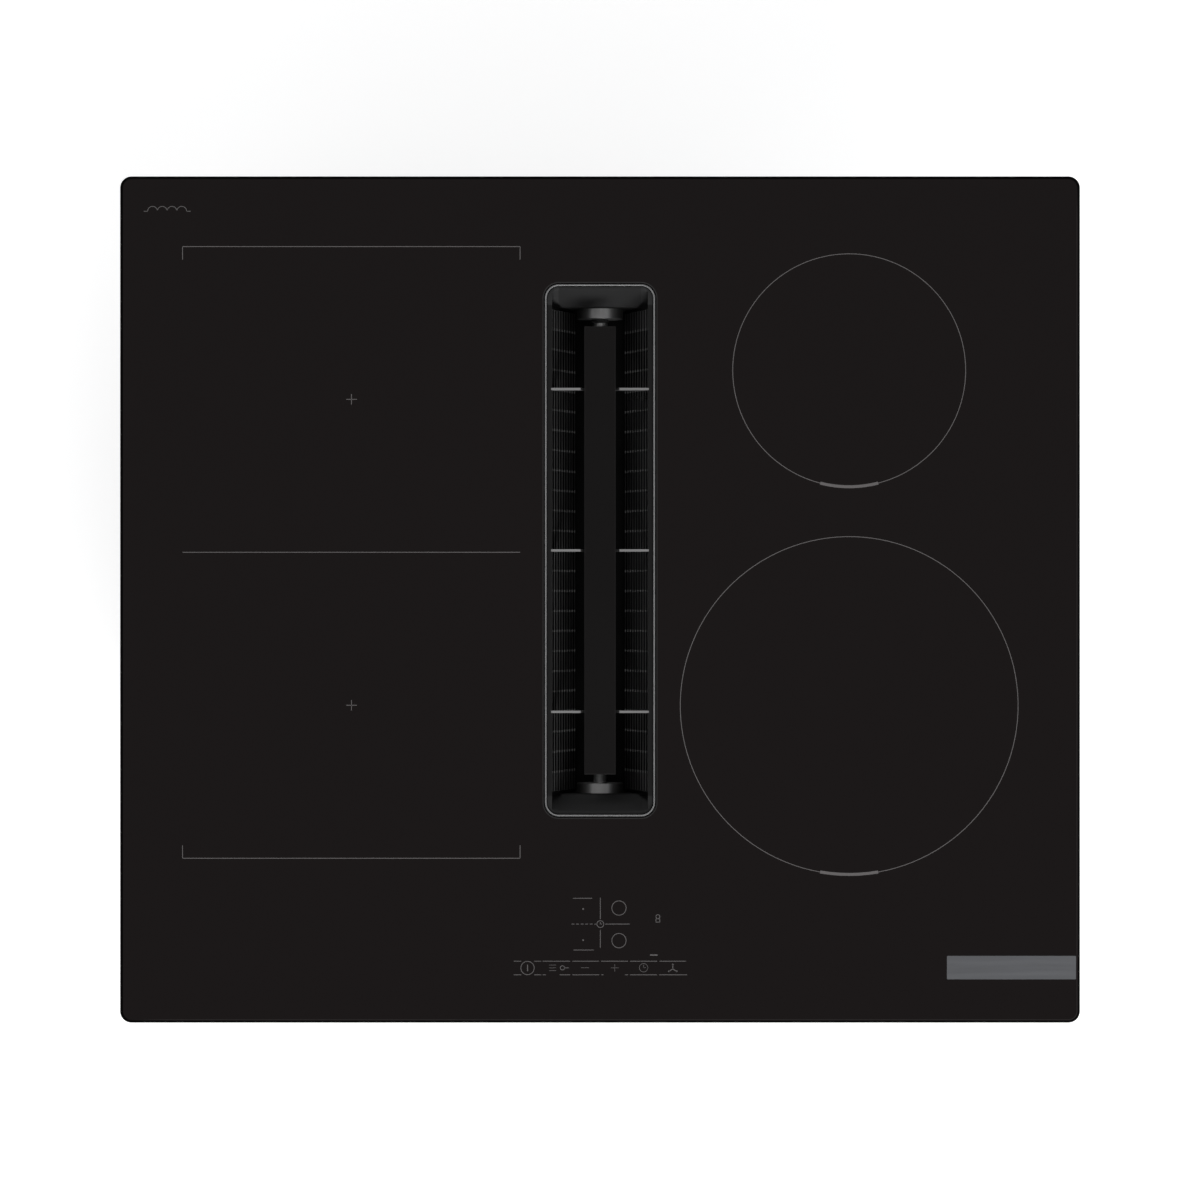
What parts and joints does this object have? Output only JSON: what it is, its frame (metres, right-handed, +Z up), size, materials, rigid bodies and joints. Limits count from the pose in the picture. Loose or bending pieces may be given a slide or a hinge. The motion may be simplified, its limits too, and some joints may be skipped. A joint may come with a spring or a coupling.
{
  "type": "downdraft cooktop",
  "caption": "Built-in induction cooktop with a lift-out grille and extractor in the middle of its glass, over a blower housing with a flat duct outlet.",
  "frame": {"origin": "centre of the glass outline, on the worktop's surface: the underside of the foam strip that the glass lies on", "axes": "+X to the user's right, +Y to the back of the worktop, +Z up out of the glass"},
  "size_m": [0.592, 0.522, 0.2233],
  "materials": {
    "black_glass": "polished glass ceramic",
    "foam": "matt foam",
    "silicone": "matt",
    "stainless": "brushed",
    "galvanised": "zinc coated sheet",
    "black_plastic": "fine grain",
    "dark_plastic": "satin",
    "dark_steel": "black satin coating",
    "aluminium": "mill finish",
    "copper": "enamelled copper strand",
    "ferrite": "matt",
    "felt": "needle felt",
    "circuit_board": "solder mask",
    "white_plastic": "matt",
    "grey_plastic": "matt",
    "zinc_steel": "bright zinc"
  },
  "bodies": {
    "cooktop": {"glass_top": "black_glass", "edge_foam_strip": "foam", "vent_collar": "stainless", "vent_silicone_joint": "silicone", "steel_case": "galvanised", "inlet_pocket": "black_plastic", "ferrite_bars": "ferrite", "coil_felt_pads": "felt", "zone_temperature_sensors": "white_plastic", "coil_plate_left": "aluminium", "coil_plate_right": "aluminium", "power_board_left": "circuit_board", "power_board_right": "circuit_board", "board_standoffs": "white_plastic", "heat_sink_left": "aluminium", "heat_sink_right": "aluminium", "board_components_left": "grey_plastic", "board_components_right": "grey_plastic", "cooling_fan_frame_left": "dark_plastic", "cooling_fan_frame_right": "dark_plastic", "control_holder": "white_plastic", "control_board": "circuit_board", "touch_key_springs": "zinc_steel", "zone_displays": "dark_plastic", "air_housing_lid": "black_plastic", "air_housing_tub": "black_plastic", "blower_scroll": "dark_plastic", "blower_cover": "dark_plastic", "blower_motor": "aluminium", "motor_rubber_dampers": "silicone", "duct_collar": "dark_plastic", "terminal_box": "black_plastic", "terminal_hinge_pin": "zinc_steel", "terminal_block": "white_plastic", "side_spring_clips": "stainless", "spring_clip_screws": "zinc_steel", "air_housing_screws": "zinc_steel", "coil_winding_rear_left": "copper", "coil_carrier_rear_left": "dark_plastic", "coil_winding_front_left": "copper", "coil_carrier_front_left": "dark_plastic", "coil_winding_rear_right": "copper", "coil_carrier_rear_right": "dark_plastic", "coil_winding_front_right": "copper", "coil_carrier_front_right": "dark_plastic"},
    "filter_unit": {"filter_frame": "black_plastic", "grip_bar": "dark_steel", "filter_tie_rod": "stainless", "rod_hubs": "stainless", "filter_webs": "stainless", "filter_mesh_left": "stainless", "filter_mesh_right": "stainless", "grease_trough": "stainless"},
    "blower_wheel": {"blower_impeller": "grey_plastic"},
    "left_fan_wheel": {"cooling_fan_rotor_left": "dark_plastic"},
    "right_fan_wheel": {"cooling_fan_rotor_right": "dark_plastic"},
    "container": {"overflow_container": "grey_plastic", "container_seal": "silicone"},
    "terminal_cover": {"terminal_box_cover": "black_plastic"}
  },
  "joints": [
    {"name": "filter_lift_out", "type": "slide", "parent": "cooktop", "child": "filter_unit", "axis": [0, 0, 1], "range_m": [0, 0.09]},
    {"name": "blower_spin", "type": "hinge", "parent": "cooktop", "child": "blower_wheel", "pos_m": [-0.126, 0.01, -0.205], "axis": [0, 0, 1], "continuous": true},
    {"name": "left_fan_spin", "type": "hinge", "parent": "cooktop", "child": "left_fan_wheel", "pos_m": [-0.196, -0.194, -0.047], "axis": [0, 0, 1], "continuous": true},
    {"name": "right_fan_spin", "type": "hinge", "parent": "cooktop", "child": "right_fan_wheel", "pos_m": [0.196, -0.194, -0.047], "axis": [0, 0, 1], "continuous": true},
    {"name": "container_drop_out", "type": "slide", "parent": "cooktop", "child": "container", "axis": [0, 0, -1], "range_m": [0, 0.06]},
    {"name": "terminal_cover_hinge", "type": "hinge", "parent": "cooktop", "child": "terminal_cover", "pos_m": [0.222, 0.0921, -0.0949], "axis": [-1, 0, 0], "range_deg": [0, 100]}
  ]
}
